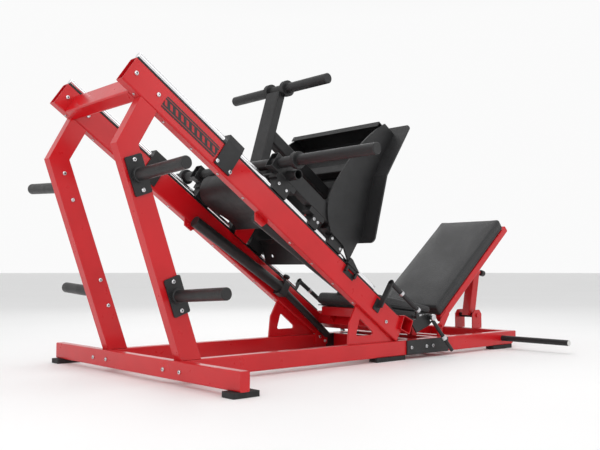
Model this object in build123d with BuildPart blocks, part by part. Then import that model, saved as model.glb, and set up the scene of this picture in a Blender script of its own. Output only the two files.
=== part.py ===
from build123d import *
import math
import os

os.makedirs("parts", exist_ok=True)

# Plate-loaded leg press, in millimetres. +X runs from the rear crossbar to the seat end, +Y is
# the sitter's right-hand side and +Z is up. Stations along X are measured from the rear face of
# the rear crossbar. When every piece is made, all are moved together so that the origin is the
# bottom centre of the whole machine.

# ---- driving dimensions ----------------------------------------------------------------------
FLOOR_GAP = 22.0            # foot under the base tubes
TUBE_HEIGHT = 76.0
TUBE_WIDTH = 50.0
WALL = 3.0
BASE_TOP = FLOOR_GAP + TUBE_HEIGHT

RAIL_SPACING = 605.0        # centre to centre of the inclined rails
RAIL_SLOPE = 35.087         # degrees below horizontal towards +X
RAIL_HEIGHT = 115.0
RAIL_START = -83.0          # stations along the rail start at the first screw of its underside
RAIL_END = 1846.0
RAIL_ZERO_X = -182.84
RAIL_ZERO_Z = 1159.56

REAR_BAR_HALF = 760.0
REAR_BAR_DEPTH = 45.0
SEAM_X = 1398.0             # joint between the rear and the front base rails
FRONT_X = 2392.0

SHAFT_RADIUS = 15.0
SHAFT_LIFT = 138.0          # shaft axis above the rail's underside
SHAFT_START = -79.0
SHAFT_END = 1571.0
BORE_GAP = 0.1

HORN_RADIUS = 25.0          # sleeves for plates with a 50 mm hole
HORN_HALF = 922.0
HORN_STATION = 726.0
HORN_LIFT = 250.0
COLLAR_RADIUS = 39.0
T_BAR_HALF = 364.0
T_BAR_X = 817.0
T_BAR_Z = 1369.0
PEG_LENGTH = 338.0
PEG_TILT = 3.0

SIDE_LOW = 205.0            # sled side member above the rail's underside
SIDE_TOP = 281.0
SIDE_START = 690.0
SIDE_END = 1180.0
NOSE_STATION = 1322.0
PLATE_HALF = 430.0

BACK_ANGLE = 39.7
PAD_HALF = 228.0
BACK_PAD_LENGTH = 810.0
BACK_PAD_THICKNESS = 77.0
BACK_FOOT = (1814.0, 200.0)
BACK_HINGE = (1815.0, 150.0)
STRUT_FOOT = (2370.0, 178.0)
STRUT_HEAD = (2467.0, 655.0)
STRUT_TOP_Z = 473.0

SEAT_TOP = ((1300.0, 342.0), (1738.0, 260.0))
SEAT_LOW = ((1290.0, 270.0), (1734.0, 217.0))
SEAT_NOSE = (1268.0, 291.0)
SEAT_HALF = 225.0

SHAFT_X = 1565.0            # release cross shaft
SHAFT_Z = 212.0

# ---- reference directions and planes ---------------------------------------------------------
RAIL_Y = RAIL_SPACING / 2
RAIL_IN = RAIL_Y - TUBE_WIDTH / 2
RAIL_OUT = RAIL_Y + TUBE_WIDTH / 2
SLOPE = math.radians(RAIL_SLOPE)
DOWN_RAIL = Vector(math.cos(SLOPE), 0, -math.sin(SLOPE))
OFF_RAIL = Vector(math.sin(SLOPE), 0, math.cos(SLOPE))
RAIL_ZERO = Vector(RAIL_ZERO_X, 0, RAIL_ZERO_Z)
TILT = math.radians(BACK_ANGLE)
UP_BACK = Vector(math.cos(TILT), 0, math.sin(TILT))
OFF_BACK = Vector(-math.sin(TILT), 0, math.cos(TILT))
SIDES = (("left", -1), ("right", 1))


def rail_point(station, lift, y=0.0):
    """Point at a station along the rail and a lift above its underside."""
    return RAIL_ZERO + DOWN_RAIL * station + OFF_RAIL * lift + Vector(0, y, 0)


def rail_side(y=0.0):
    """Upright plane along the rails: sketch x is the station, sketch y the lift."""
    return Plane(origin=rail_point(0, 0, y), x_dir=DOWN_RAIL, z_dir=(0, -1, 0))


def rail_section(station, y=0.0):
    """Plane square to the rails: sketch x is Y, sketch y the lift, extruded down the rail."""
    return Plane(origin=rail_point(station, 0, y), x_dir=(0, 1, 0), z_dir=DOWN_RAIL)


def upright_plane(y=0.0):
    """Plane across Y: sketch x is X, sketch y is Z, extruded towards -Y."""
    return Plane(origin=(0, y, 0), x_dir=(1, 0, 0), z_dir=(0, -1, 0))


def back_side(y=0.0):
    """Plane along the back pad: sketch x runs up its rear face, sketch y out of its front."""
    return Plane(origin=(BACK_FOOT[0], y, BACK_FOOT[1]), x_dir=UP_BACK, z_dir=(0, -1, 0))


def square_to(start, end):
    """Plane at start whose normal points at end and whose sketch x is Y."""
    run = Vector(*end) - Vector(*start)
    return Plane(origin=start, x_dir=(0, 1, 0), z_dir=run), run.length


# ---- sketches --------------------------------------------------------------------------------
def hollow(plane, width, height, wall=WALL, corner=6.0, centre=(0, 0)):
    """Rectangular tube section."""
    with BuildSketch(plane) as section:
        with Locations(centre):
            RectangleRounded(width, height, corner)
            RectangleRounded(width - 2 * wall, height - 2 * wall, corner - wall + 0.5, mode=Mode.SUBTRACT)
    return section.sketch


def disc(plane, radius, bore=0.0, centre=(0, 0)):
    with BuildSketch(plane) as section:
        with Locations(centre):
            Circle(radius)
            if bore:
                Circle(bore, mode=Mode.SUBTRACT)
    return section.sketch


def outline(plane, points, corner=0.0):
    """Closed polygon, with its corners rounded when a radius is given."""
    with BuildSketch(plane) as section:
        with BuildLine():
            Polyline(*points, close=True)
        make_face()
        if corner:
            fillet(section.vertices(), corner)
    return section.sketch


def block(plane, x_low, x_high, y_low, y_high, corner=0.0):
    """Rectangle between two x and two y values of its plane."""
    points = [(x_low, y_low), (x_high, y_low), (x_high, y_high), (x_low, y_high)]
    return outline(plane, points, corner)


def round_ends(part_builder, radius, amount):
    """Chamfer the rims of one radius on a finished bar."""
    rims = part_builder.edges().filter_by(GeomType.CIRCLE)
    chamfer(rims.filter_by(lambda rim: abs(rim.radius - radius) < 0.01), amount)


finished = {}


def keep(name, builder):
    builder.part.label = name
    finished[name] = builder.part


def bolt_heads(places, radius=9.0, height=6.0):
    """Button-head screws with hexagon sockets; places are (point, outward direction)."""
    with BuildPart() as heads:
        for point, outward in places:
            seat = Plane(origin=point, z_dir=outward)
            with BuildPart(mode=Mode.PRIVATE) as head:
                extrude(disc(seat, radius), amount=height)
                chamfer(head.faces().sort_by(Axis(seat.origin, seat.z_dir))[-1].edges(), height * 0.4)
                with BuildSketch(seat.offset(height)) as socket:
                    RegularPolygon(radius * 0.45, 6)
                extrude(socket.sketch, amount=-height * 0.6, mode=Mode.SUBTRACT)
            add(head.part)
    return heads


# ---- base ------------------------------------------------------------------------------------
BASE_MID = FLOOR_GAP + TUBE_HEIGHT / 2
with BuildPart() as rear_crossbar:
    bar_plane = Plane(origin=(REAR_BAR_DEPTH / 2, -REAR_BAR_HALF, BASE_MID), x_dir=(1, 0, 0), z_dir=(0, 1, 0))
    with BuildSketch(bar_plane) as bar_sketch:
        RectangleRounded(REAR_BAR_DEPTH, TUBE_HEIGHT, 6)
    extrude(bar_sketch.sketch, amount=2 * REAR_BAR_HALF)
    with BuildSketch(bar_plane.offset(5)) as bore_sketch:
        RectangleRounded(REAR_BAR_DEPTH - 2 * WALL, TUBE_HEIGHT - 2 * WALL, 3.5)
    extrude(bore_sketch.sketch, amount=2 * REAR_BAR_HALF - 10, mode=Mode.SUBTRACT)
keep("rear_crossbar", rear_crossbar)

with BuildPart() as base_rails:
    for sign in (-1, 1):
        rail_plane = Plane(origin=(REAR_BAR_DEPTH, sign * RAIL_Y, BASE_MID), x_dir=(0, 1, 0), z_dir=(1, 0, 0))
        extrude(hollow(rail_plane, TUBE_WIDTH, TUBE_HEIGHT), amount=SEAM_X - REAR_BAR_DEPTH)
keep("base_rails", base_rails)

with BuildPart() as front_rails:
    for sign in (-1, 1):
        body = [(SEAM_X, FLOOR_GAP), (FRONT_X - 42, FLOOR_GAP), (FRONT_X, FLOOR_GAP + 42), (FRONT_X, BASE_TOP), (SEAM_X, BASE_TOP)]
        extrude(outline(upright_plane(sign * RAIL_Y), body), amount=TUBE_WIDTH / 2, both=True)
    fillet(front_rails.edges().filter_by(Axis.X), 5)
    for sign in (-1, 1):
        cavity = block(upright_plane(sign * RAIL_Y), SEAM_X, FRONT_X - 48, FLOOR_GAP + WALL, BASE_TOP - WALL)
        extrude(cavity, amount=TUBE_WIDTH / 2 - WALL, both=True, mode=Mode.SUBTRACT)
keep("front_rails", front_rails)

with BuildPart() as splice_plates:
    for side, sign in SIDES:
        for face_y in (RAIL_OUT + 4, RAIL_IN - 4):
            plate = block(upright_plane(sign * face_y), 1404, 1740, FLOOR_GAP + 0.5, BASE_TOP - 0.5)
            extrude(plate, amount=4, both=True)
keep("splice_plates", splice_plates)

CROSS_X = (1485.0, 1690.0, 1815.0, FRONT_X - 25)
with BuildPart() as base_crossmembers:
    for x in CROSS_X:
        inner = RAIL_IN - 8 if x < 1740 else RAIL_IN
        cross_plane = Plane(origin=(x, -inner, BASE_MID), x_dir=(1, 0, 0), z_dir=(0, 1, 0))
        extrude(hollow(cross_plane, 50, TUBE_HEIGHT), amount=2 * inner)
keep("base_crossmembers", base_crossmembers)

with BuildPart() as rubber_feet:
    for x_low, x_high, y_low, y_high in ((-26, 96, 680, 757), (1180, 1396, 274, 331), (2164, 2348, 274, 331)):
        for sign in (-1, 1):
            centre = Plane(origin=((x_low + x_high) / 2, sign * (y_low + y_high) / 2, 0))
            with BuildSketch(centre) as foot_sketch:
                RectangleRounded(x_high - x_low, y_high - y_low, 6)
            extrude(foot_sketch.sketch, amount=FLOOR_GAP)
keep("rubber_feet", rubber_feet)

with BuildPart() as front_bars:
    for side, sign in SIDES:
        bar_plane = Plane(origin=(2255, sign * RAIL_OUT, 61), z_dir=(0, sign, 0))
        extrude(disc(bar_plane, 16, 13), amount=754 - RAIL_OUT)
keep("front_bars", front_bars)

with BuildPart() as front_bar_caps:
    for side, sign in SIDES:
        cap_plane = Plane(origin=(2255, sign * 734, 61), z_dir=(0, sign, 0))
        extrude(disc(cap_plane, 13), amount=20)
        extrude(disc(cap_plane.offset(20), 16), amount=4)
    round_ends(front_bar_caps, 16, 1.5)
keep("front_bar_caps", front_bar_caps)

# ---- uprights, inclined rails ----------------------------------------------------------------
KNEE_REAR = (-271.0, 955.0)
KNEE_FRONT = (-174.0, 956.0)
with BuildPart() as uprights:
    rail_rear = rail_point(20, 0)
    rail_front = rail_point(110, 0)
    leg = [(28, BASE_TOP), (128, BASE_TOP), KNEE_FRONT, (rail_front.X, rail_front.Z), (rail_rear.X, rail_rear.Z), KNEE_REAR]
    for sign in (-1, 1):
        extrude(outline(upright_plane(sign * RAIL_Y), leg), amount=TUBE_WIDTH / 2, both=True)
    for sign in (-1, 1):
        with BuildSketch(upright_plane(sign * RAIL_Y)) as bore_sketch:
            with BuildLine():
                Polyline(*leg, close=True)
            make_face()
            offset(amount=-WALL)
        extrude(bore_sketch.sketch, amount=TUBE_WIDTH / 2 - WALL, both=True, mode=Mode.SUBTRACT)
keep("uprights", uprights)

TOE_X = 1390.0
TOE_Z = 180.0
TOE_TURN = math.radians(24.0)
TOE_DIR = Vector(math.cos(TOE_TURN), 0, -math.sin(TOE_TURN))
TOE_SIZE = 76.0
TOE_HALF = 345.0
TOE_PLANE = Plane(origin=(TOE_X, -TOE_HALF, TOE_Z), x_dir=TOE_DIR, z_dir=(0, 1, 0))
with BuildPart() as rail_toe_tube:
    extrude(hollow(TOE_PLANE, TOE_SIZE, TOE_SIZE, 4), amount=2 * TOE_HALF)
keep("rail_toe_tube", rail_toe_tube)

for side, sign in SIDES:
    with BuildPart() as rail_beam:
        start = rail_section(RAIL_START, sign * RAIL_Y)
        extrude(hollow(start, TUBE_WIDTH, RAIL_HEIGHT, WALL, 7, (0, RAIL_HEIGHT / 2)), amount=RAIL_END - RAIL_START)
        with BuildSketch(TOE_PLANE) as toe_section:
            Rectangle(TOE_SIZE, TOE_SIZE)
        extrude(toe_section.sketch, amount=2 * TOE_HALF, mode=Mode.SUBTRACT)
    keep("rail_beam_" + side, rail_beam)


with BuildPart() as shaft_supports:
    for sign in (-1, 1):
        start = rail_section(SHAFT_START, sign * RAIL_Y)
        extrude(block(start, -22, 22, RAIL_HEIGHT, RAIL_HEIGHT + 6), amount=1780 - SHAFT_START)
        extrude(block(start, -6, 6, RAIL_HEIGHT + 6, SHAFT_LIFT), amount=SHAFT_END - SHAFT_START)
        extrude(disc(start, SHAFT_RADIUS, 0, (0, SHAFT_LIFT)), amount=SHAFT_END - SHAFT_START, mode=Mode.SUBTRACT)
keep("shaft_supports", shaft_supports)

with BuildPart() as guide_shafts:
    for sign in (-1, 1):
        start = rail_section(SHAFT_START, sign * RAIL_Y)
        extrude(disc(start, SHAFT_RADIUS, 0, (0, SHAFT_LIFT)), amount=SHAFT_END - SHAFT_START)
    round_ends(guide_shafts, SHAFT_RADIUS, 2)
keep("guide_shafts", guide_shafts)

with BuildPart() as rail_gussets:
    for sign in (-1, 1):
        knee = rail_point(1516, 0)
        plate = [(1000, BASE_TOP), (1013, 209), (knee.X, knee.Z), (1328, BASE_TOP)]
        extrude(outline(upright_plane(sign * RAIL_Y), plate), amount=5, both=True)
        window = [(1055, 138), (1082, 226), (1196, 138)]
        extrude(outline(upright_plane(sign * RAIL_Y), window, 10), amount=5, both=True, mode=Mode.SUBTRACT)
keep("rail_gussets", rail_gussets)

with BuildPart() as top_cross_tube:
    tube_plane = Plane(origin=rail_point(9, 50, -RAIL_IN), x_dir=DOWN_RAIL, z_dir=(0, 1, 0))
    extrude(hollow(tube_plane, 60, 100, WALL, 8), amount=2 * RAIL_IN)
keep("top_cross_tube", top_cross_tube)

# ---- upper stops: saddles clamped over each rail around the shaft ----------------------------
with BuildPart() as upper_stops:
    for side, sign in SIDES:
        start = rail_section(440, sign * RAIL_Y)
        saddle = [(-33, 12), (33, 12), (33, 138), (26, 168), (-26, 168), (-33, 138)]
        extrude(outline(start, saddle), amount=92)
    for side, sign in SIDES:
        start = rail_section(400, sign * RAIL_Y)
        extrude(block(start, -25, 25, -10, RAIL_HEIGHT), amount=200, mode=Mode.SUBTRACT)
        extrude(block(start, -22, 22, RAIL_HEIGHT - 5, RAIL_HEIGHT + 6), amount=200, mode=Mode.SUBTRACT)
        extrude(block(start, -6, 6, RAIL_HEIGHT, SHAFT_LIFT), amount=200, mode=Mode.SUBTRACT)
        extrude(disc(start, SHAFT_RADIUS, 0, (0, SHAFT_LIFT)), amount=200, mode=Mode.SUBTRACT)
keep("upper_stops", upper_stops)

# ---- plate storage pegs ----------------------------------------------------------------------
LEG_LEAN = math.radians(19.4)
LEG_UP = Vector(-math.sin(LEG_LEAN), 0, math.cos(LEG_LEAN))
PEG_PLACES = ((-176.0, 835.0), (6.0, 358.0))
with BuildPart() as storage_pegs:
    for side, sign in SIDES:
        rise = math.radians(PEG_TILT)
        peg_dir = Vector(0, sign * math.cos(rise), math.sin(rise))
        for x, z in PEG_PLACES:
            foot = Plane(origin=(x, sign * RAIL_OUT, z), x_dir=LEG_UP, z_dir=(0, sign, 0))
            with BuildSketch(foot) as flange:
                RectangleRounded(160, 78, 8)
            extrude(flange.sketch, amount=8)
            peg_plane = Plane(origin=(x, sign * (RAIL_OUT + 5), z), z_dir=peg_dir)
            extrude(disc(peg_plane, HORN_RADIUS), amount=PEG_LENGTH)
            extrude(disc(peg_plane, 31), amount=12)
    round_ends(storage_pegs, HORN_RADIUS, 3)
keep("storage_pegs", storage_pegs)

# ---- rail stays inside each rail -------------------------------------------------------------
STAY_Y = 246.0
STAY_TOP = (479.0, 704.0)
STAY_KNEE = (1058.0, 351.0)
STAY_FOOT = (1385.0, 92.0)


def stay_plane(sign, start, end):
    return square_to((start[0], sign * STAY_Y, start[1]), (end[0], sign * STAY_Y, end[1]))


with BuildPart() as rail_stays:
    for sign in (-1, 1):
        top_plane, top_run = stay_plane(sign, STAY_TOP, STAY_KNEE)
        low_plane, low_run = stay_plane(sign, STAY_KNEE, STAY_FOOT)
        extrude(disc(top_plane, 29, 25), amount=top_run)
        extrude(disc(top_plane, 29), amount=6)
        extrude(disc(top_plane.offset(top_run - 6), 29), amount=6)
        extrude(disc(low_plane, 19), amount=low_run)
keep("rail_stays", rail_stays)

with BuildPart() as stay_brackets:
    for side, sign in SIDES:
        hanger = [(764, 0), (846, 0), (832, -30), (786, -30)]
        extrude(outline(rail_side(sign * (RAIL_IN + 6)), hanger), amount=5, both=True)
        link = Plane(origin=rail_point(803, -14, sign * (STAY_Y + 28)), z_dir=(0, sign, 0))
        extrude(disc(link, 9), amount=RAIL_IN + 3 - STAY_Y - 28)
        shoe = [(1318, 40), (1403, 40), (1403, 96), (1380, 118), (1336, 118), (1318, 96)]
        extrude(outline(upright_plane(sign * (RAIL_IN - 6.2)), shoe, 5), amount=6.2, both=True)
keep("stay_brackets", stay_brackets)

with BuildPart() as stay_clamps:
    for side, sign in SIDES:
        top_plane, top_run = stay_plane(sign, STAY_TOP, STAY_KNEE)
        with BuildSketch(top_plane.offset(top_run - 36)) as collar:
            RectangleRounded(60, 78, 8)
        extrude(collar.sketch, amount=44)
    for side, sign in SIDES:
        top_plane, top_run = stay_plane(sign, STAY_TOP, STAY_KNEE)
        low_plane, low_run = stay_plane(sign, STAY_KNEE, STAY_FOOT)
        extrude(disc(top_plane, 29), amount=top_run, mode=Mode.SUBTRACT)
        extrude(disc(low_plane, 19), amount=low_run, mode=Mode.SUBTRACT)
keep("stay_clamps", stay_clamps)

STAY_DIR = Vector(STAY_KNEE[0] - STAY_TOP[0], 0, STAY_KNEE[1] - STAY_TOP[1]).normalized()
STAY_UP = Vector(-STAY_DIR.Z, 0, STAY_DIR.X)
PIN_SEAT = Vector(STAY_KNEE[0], 0, STAY_KNEE[1]) - STAY_DIR * 18 + STAY_UP * 39
for side, sign in SIDES:
    with BuildPart() as stay_pin:
        pin_plane = Plane(origin=PIN_SEAT + Vector(0, sign * STAY_Y, 0), z_dir=STAY_UP)
        extrude(disc(pin_plane, 9), amount=14)
        extrude(disc(pin_plane.offset(14), 6), amount=12)
        extrude(disc(pin_plane.offset(26), 19), amount=16)
        round_ends(stay_pin, 19, 4)
    keep("stay_pin_" + side, stay_pin)

with BuildPart() as nameplates:
    for side, sign in SIDES:
        extrude(block(rail_side(sign * (RAIL_OUT + 0.8)), 110, 430, 30, 85, 6), amount=0.8, both=True)
keep("nameplates", nameplates)

# ---- seat ------------------------------------------------------------------------------------
with BuildPart() as seat_pad:
    cushion = [SEAT_NOSE, SEAT_LOW[0], SEAT_LOW[1], SEAT_TOP[1], SEAT_TOP[0]]
    extrude(outline(upright_plane(), cushion, 9), amount=SEAT_HALF, both=True)
    fillet(seat_pad.faces().filter_by(Axis.Y).edges(), 8)
keep("seat_pad", seat_pad)

SEAT_DIR = Vector(SEAT_LOW[1][0] - SEAT_LOW[0][0], 0, SEAT_LOW[1][1] - SEAT_LOW[0][1]).normalized()
SEAT_UNDER = Plane(origin=(SEAT_LOW[0][0], 0, SEAT_LOW[0][1] - 0.4), x_dir=SEAT_DIR, z_dir=(0, -1, 0))
with BuildPart() as seat_plate:
    extrude(block(SEAT_UNDER, 15, 440, -5, 0), amount=235, both=True)
    for side, sign in SIDES:
        wing = [(1412, 250), (1488, 180), (1600, 180), (1672, 219)]
        extrude(outline(upright_plane(sign * 238), wing), amount=3, both=True)
    shaft_plane = Plane(origin=(SHAFT_X, -300, SHAFT_Z), z_dir=(0, 1, 0))
    extrude(disc(shaft_plane, 10 + BORE_GAP), amount=600, mode=Mode.SUBTRACT)
keep("seat_plate", seat_plate)

with BuildPart() as seat_frame:
    under = SEAT_LOW[0][1] - 0.4 - 5.1
    drop = (SEAT_LOW[0][1] - SEAT_LOW[1][1]) / (SEAT_LOW[1][0] - SEAT_LOW[0][0])
    front_top = under - drop * (1350 - SEAT_LOW[0][0])
    rear_top = under - drop * (1712 - SEAT_LOW[0][0])
    front_plane = Plane(origin=(1325, -200, front_top - 25), x_dir=(1, 0, 0), z_dir=(0, 1, 0))
    extrude(hollow(front_plane, 50, 50), amount=400)
    rear_plane = Plane(origin=(1690, -200, rear_top - 20), x_dir=(1, 0, 0), z_dir=(0, 1, 0))
    extrude(hollow(rear_plane, 40, 40), amount=400)
    for y in (-120, 120):
        with BuildSketch(Plane(origin=(1690, y, BASE_TOP))) as post_section:
            RectangleRounded(40, 40, 4)
        extrude(post_section.sketch, amount=rear_top - 40 - BASE_TOP)
    for y in (-150, 150):
        toe_face = [(1310, front_top - 50), (1349, front_top - 50), (1365.5, 218.5), (1343, 168)]
        extrude(outline(upright_plane(y), toe_face), amount=4, both=True)
keep("seat_frame", seat_frame)

# ---- release shaft, levers and handrails -----------------------------------------------------
PLATE_Y = 341.0             # arm plates that carry the ends of the release shaft
ARM_PLATE = [(1431.6, 180), (1440.2, 199.3), (1533, 229), (1588, 184), (1567, 168), (1467, 135)]
RAIL_GRIP_Y = 350.0
GRIP_LIFT = 208.0
with BuildPart() as side_brackets:
    for side, sign in SIDES:
        extrude(outline(upright_plane(sign * PLATE_Y), ARM_PLATE), amount=4, both=True)
        shaft_plane = Plane(origin=(SHAFT_X, sign * 330, SHAFT_Z), z_dir=(0, sign, 0))
        extrude(disc(shaft_plane, 18), amount=15)
        tab = [(1466, 203), (1490, 212), (1483, 262), (1462, 262)]
        extrude(outline(upright_plane(sign * PLATE_Y), tab), amount=4, both=True)
        post_plane = rail_section(1619, sign * RAIL_GRIP_Y)
        post = [(-16, 60), (16, 60), (16, GRIP_LIFT + 6), (6, GRIP_LIFT + 16), (-6, GRIP_LIFT + 16), (-16, GRIP_LIFT + 6)]
        extrude(outline(post_plane, post), amount=8)
        extrude(block(rail_side(sign * (RAIL_OUT + 3)), 1600, 1646, 40, 100), amount=3, both=True)
    for side, sign in SIDES:
        extrude(disc(rail_section(1610, sign * RAIL_GRIP_Y), 12, 0, (0, GRIP_LIFT)), amount=300, mode=Mode.SUBTRACT)
        extrude(disc(rail_section(1858, sign * RAIL_GRIP_Y), 15, 0, (0, GRIP_LIFT)), amount=26, mode=Mode.SUBTRACT)
    shaft_plane = Plane(origin=(SHAFT_X, -400, SHAFT_Z), z_dir=(0, 1, 0))
    extrude(disc(shaft_plane, 10 + BORE_GAP), amount=800, mode=Mode.SUBTRACT)
keep("side_brackets", side_brackets)

with BuildPart() as release_shaft:
    shaft_plane = Plane(origin=(SHAFT_X, -372, SHAFT_Z), z_dir=(0, 1, 0))
    extrude(disc(shaft_plane, 10), amount=744)
    round_ends(release_shaft, 10, 1.5)
keep("release_shaft", release_shaft)

LEVER_END = (1689.0, 33.0)
HUB_Y = 346.0
with BuildPart() as release_levers:
    for side, sign in SIDES:
        hub_plane = Plane(origin=(SHAFT_X, sign * HUB_Y, SHAFT_Z), z_dir=(0, sign, 0))
        rod_plane, rod_run = square_to((SHAFT_X + 6, sign * 357, SHAFT_Z - 6), (LEVER_END[0], sign * 400, LEVER_END[1]))
        extrude(disc(rod_plane.offset(12), 10), amount=rod_run - 12)
        extrude(disc(hub_plane, 14), amount=20)
    for side, sign in SIDES:
        hub_plane = Plane(origin=(SHAFT_X, sign * (HUB_Y - 5), SHAFT_Z), z_dir=(0, sign, 0))
        extrude(disc(hub_plane, 10), amount=40, mode=Mode.SUBTRACT)
keep("release_levers", release_levers)

with BuildPart() as hand_grips:
    for side, sign in SIDES:
        extrude(disc(rail_section(1627, sign * RAIL_GRIP_Y), 12, 0, (0, GRIP_LIFT)), amount=243)
keep("hand_grips", hand_grips)

with BuildPart() as bright_collars:
    for side, sign in SIDES:
        for station in (1708, 1862):
            extrude(disc(rail_section(station, sign * RAIL_GRIP_Y), 15, 12, (0, GRIP_LIFT)), amount=18)
keep("bright_collars", bright_collars)

with BuildPart() as lever_collars:
    for side, sign in SIDES:
        rod_plane, rod_run = square_to((SHAFT_X + 6, sign * 357, SHAFT_Z - 6), (LEVER_END[0], sign * 400, LEVER_END[1]))
        extrude(disc(rod_plane.offset(118), 14, 10), amount=22)
        hub_plane = Plane(origin=(SHAFT_X, sign * (HUB_Y + 26.1), SHAFT_Z), z_dir=(0, sign, 0))
        extrude(disc(hub_plane, 17), amount=8)
keep("lever_collars", lever_collars)

# ---- sled ------------------------------------------------------------------------------------
HORN_PLANE = Plane(origin=rail_point(HORN_STATION, HORN_LIFT, -HORN_HALF), z_dir=(0, 1, 0))
CROSS_PLANE = Plane(origin=rail_point(797, 232, -395), z_dir=(0, 1, 0))
with BuildPart() as sled_sides:
    for side, sign in SIDES:
        start = rail_section(SIDE_START, sign * 305)
        extrude(hollow(start, 50, SIDE_TOP - SIDE_LOW, WALL, 6, (0, (SIDE_TOP + SIDE_LOW) / 2)), amount=SIDE_END - SIDE_START)
    extrude(disc(HORN_PLANE, HORN_RADIUS), amount=2 * HORN_HALF, mode=Mode.SUBTRACT)
    extrude(disc(CROSS_PLANE, 24), amount=790, mode=Mode.SUBTRACT)
keep("sled_sides", sled_sides)

with BuildPart() as horn_bar:
    extrude(disc(HORN_PLANE, HORN_RADIUS), amount=2 * HORN_HALF)
    round_ends(horn_bar, HORN_RADIUS, 3)
    for side, sign in SIDES:
        collar_plane = Plane(origin=rail_point(HORN_STATION, HORN_LIFT, sign * 428), z_dir=(0, sign, 0))
        extrude(disc(collar_plane, COLLAR_RADIUS), amount=27)
    round_ends(horn_bar, COLLAR_RADIUS, 2)
keep("horn_bar", horn_bar)

with BuildPart() as sled_cross_tubes:
    extrude(disc(CROSS_PLANE, 24, 20), amount=790)
    member_plane = Plane(origin=rail_point(876, 243, -280), x_dir=DOWN_RAIL, z_dir=(0, 1, 0))
    extrude(hollow(member_plane, 60, 76), amount=560)
keep("sled_cross_tubes", sled_cross_tubes)

POST_LEAN = math.radians(16.9)
POST_UP = Vector(math.sin(POST_LEAN), 0, math.cos(POST_LEAN))
POST_ACROSS = Vector(math.cos(POST_LEAN), 0, -math.sin(POST_LEAN))
POST_DEPTH = 47.0
POST_CENTRE = Vector(670, 0, 1004) + POST_ACROSS * (POST_DEPTH / 2)
T_PLANE = Plane(origin=(T_BAR_X, -T_BAR_HALF, T_BAR_Z), z_dir=(0, 1, 0))
with BuildPart() as sled_post:
    post_plane = Plane(origin=POST_CENTRE, x_dir=(0, 1, 0), z_dir=POST_UP)
    extrude(hollow(post_plane.offset(-170), 100, POST_DEPTH, WALL, 8), amount=170 + 362)
    cap = Plane(origin=POST_CENTRE + POST_UP * 362, x_dir=(0, 1, 0), z_dir=POST_UP)
    with BuildSketch(cap) as lid:
        RectangleRounded(100, POST_DEPTH, 8)
    extrude(lid.sketch, amount=4)
    split(bisect_by=Plane(origin=rail_point(0, SIDE_TOP), z_dir=OFF_RAIL), keep=Keep.TOP)
    extrude(disc(T_PLANE, 25), amount=2 * T_BAR_HALF, mode=Mode.SUBTRACT)
keep("sled_post", sled_post)

with BuildPart() as t_bar:
    extrude(disc(T_PLANE, 25), amount=2 * T_BAR_HALF)
    round_ends(t_bar, 25, 3)
    for side, sign in SIDES:
        collar_plane = Plane(origin=(T_BAR_X, sign * 51, T_BAR_Z), z_dir=(0, sign, 0))
        extrude(disc(collar_plane, 40), amount=24)
keep("t_bar", t_bar)

# foot plate: a folded sheet leaning over the rails
PLATE_LINE = [(1346, 252), (1230, 578), (1224, 903)]
PLATE_BACK = [(1338, 249), (1222, 576.5), (1216, 903)]
with BuildPart() as foot_plate:
    section = [PLATE_LINE[0], PLATE_LINE[1], PLATE_LINE[2], PLATE_BACK[2], PLATE_BACK[1], PLATE_BACK[0]]
    extrude(outline(rail_side(), section), amount=PLATE_HALF, both=True)
    corners = foot_plate.edges().filter_by(lambda edge: abs(edge.length - 8.5) < 1.2)
    fillet(corners.filter_by(lambda edge: abs(abs(edge.center().Y) - PLATE_HALF) < 1), 28)
keep("foot_plate", foot_plate)

def plate_back(lift):
    """Station of the foot plate's rear face at a lift."""
    low, middle, top = PLATE_BACK
    first, second = (low, middle) if lift < middle[1] else (middle, top)
    share = (lift - first[1]) / (second[1] - first[1])
    return first[0] + share * (second[0] - first[0])


with BuildPart() as foot_plate_frame:
    for side, sign in SIDES:
        with BuildSketch(rail_side(sign * 335)) as rib_sketch:
            with BuildLine():
                Spline((1158, 174), (1088, 225), (1046, 300), (1038, 400), (1046, 535), (1067, 662), (1137, 854))
                Polyline((1137, 854), (plate_back(854), 854), PLATE_BACK[1], PLATE_BACK[0], (NOSE_STATION, 232), (NOSE_STATION, 127), (1250, 170), (1158, 174))
            make_face()
        extrude(rib_sketch.sketch, amount=5, both=True)
    channel = [(1105, 812), (1105, 842), (plate_back(842), 842), (plate_back(838), 838), (1109, 838), (1109, 812)]
    extrude(outline(rail_side(), channel), amount=330, both=True)
    girt = Plane(origin=rail_point(1190, 610, -330), x_dir=DOWN_RAIL, z_dir=(0, 1, 0))
    extrude(hollow(girt, 50, 50), amount=660)
keep("foot_plate_frame", foot_plate_frame)

with BuildPart() as post_brace:
    brace_low = Vector(1150, 0, 850)
    brace_top = Vector(760, 0, 1128)
    run = (brace_low - brace_top)
    brace_plane = Plane(origin=brace_top, x_dir=(0, 1, 0), z_dir=run)
    extrude(hollow(brace_plane, 60, 60, WALL, 8), amount=run.length + 60)
    front_face = Plane(origin=POST_CENTRE + POST_ACROSS * (POST_DEPTH / 2), z_dir=POST_ACROSS)
    split(bisect_by=front_face, keep=Keep.TOP)
    stop_low = rail_point(PLATE_BACK[0][0], PLATE_BACK[0][1])
    stop_dir = rail_point(PLATE_BACK[1][0], PLATE_BACK[1][1]) - stop_low
    plate_plane = Plane(origin=stop_low, z_dir=Vector(stop_dir.Z, 0, -stop_dir.X))
    split(bisect_by=plate_plane, keep=Keep.BOTTOM)
keep("post_brace", post_brace)

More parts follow.
